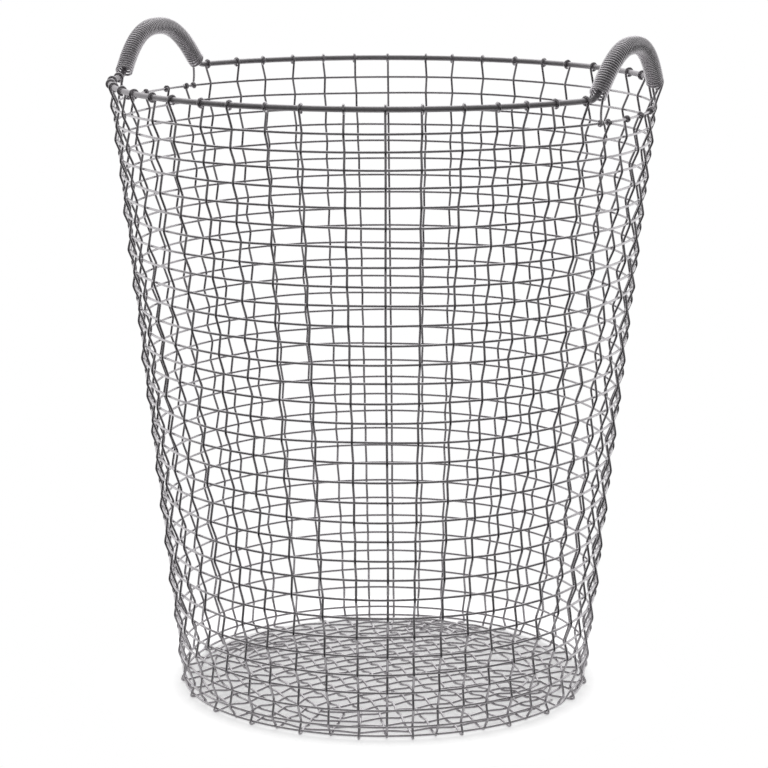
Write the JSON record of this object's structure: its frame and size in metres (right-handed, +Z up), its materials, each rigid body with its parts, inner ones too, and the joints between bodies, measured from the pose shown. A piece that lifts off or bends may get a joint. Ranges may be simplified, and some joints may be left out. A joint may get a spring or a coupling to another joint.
{
  "type": "wire mesh basket",
  "caption": "Tall tapered round basket woven from galvanised steel wire, open at the top, with a woven wire base and fixed arched handles wrapped in close-wound wire coils.",
  "frame": {"origin": "centre of the basket on the floor that it stands on", "axes": "+Z up along the basket's axis, +X towards the middle of one handle, -X towards the other"},
  "size_m": [0.4802, 0.4844, 0.5852],
  "materials": {
    "rod_steel": "galvanised, satin",
    "wire_steel": "galvanised, satin",
    "coil_steel": "galvanised, satin"
  },
  "bodies": {
    "root": {"rim_rod": "rod_steel", "grip_coil_right": "coil_steel", "grip_coil_left": "coil_steel", "ring_wire_01": "wire_steel", "ring_wire_02": "wire_steel", "ring_wire_03": "wire_steel", "ring_wire_04": "wire_steel", "ring_wire_05": "wire_steel", "ring_wire_06": "wire_steel", "ring_wire_07": "wire_steel", "ring_wire_08": "wire_steel", "ring_wire_09": "wire_steel", "ring_wire_10": "wire_steel", "ring_wire_11": "wire_steel", "ring_wire_12": "wire_steel", "ring_wire_13": "wire_steel", "ring_wire_14": "wire_steel", "ring_wire_15": "wire_steel", "ring_wire_16": "wire_steel", "ring_wire_17": "wire_steel", "ring_wire_18": "wire_steel", "ring_wire_19": "wire_steel", "ring_wire_20": "wire_steel", "ring_wire_21": "wire_steel", "ring_wire_22": "wire_steel", "ring_wire_23": "wire_steel", "ring_wire_24": "wire_steel", "ring_wire_25": "wire_steel", "ring_wire_26": "wire_steel", "ring_wire_27": "wire_steel", "ring_wire_28": "wire_steel", "ring_wire_29": "wire_steel", "ring_wire_30": "wire_steel", "ring_wire_31": "wire_steel", "foot_ring": "wire_steel", "stake_wire_01": "wire_steel", "stake_wire_02": "wire_steel", "stake_wire_03": "wire_steel", "stake_wire_04": "wire_steel", "stake_wire_05": "wire_steel", "stake_wire_06": "wire_steel", "stake_wire_07": "wire_steel", "stake_wire_08": "wire_steel", "stake_wire_09": "wire_steel", "stake_wire_10": "wire_steel", "stake_wire_11": "wire_steel", "stake_wire_12": "wire_steel", "stake_wire_13": "wire_steel", "stake_wire_14": "wire_steel", "stake_wire_15": "wire_steel", "stake_wire_16": "wire_steel", "stake_wire_17": "wire_steel", "stake_wire_18": "wire_steel", "stake_wire_19": "wire_steel", "stake_wire_20": "wire_steel", "stake_wire_21": "wire_steel", "stake_wire_22": "wire_steel", "stake_wire_23": "wire_steel", "stake_wire_24": "wire_steel", "base_weft": "wire_steel"}
  },
  "joints": []
}
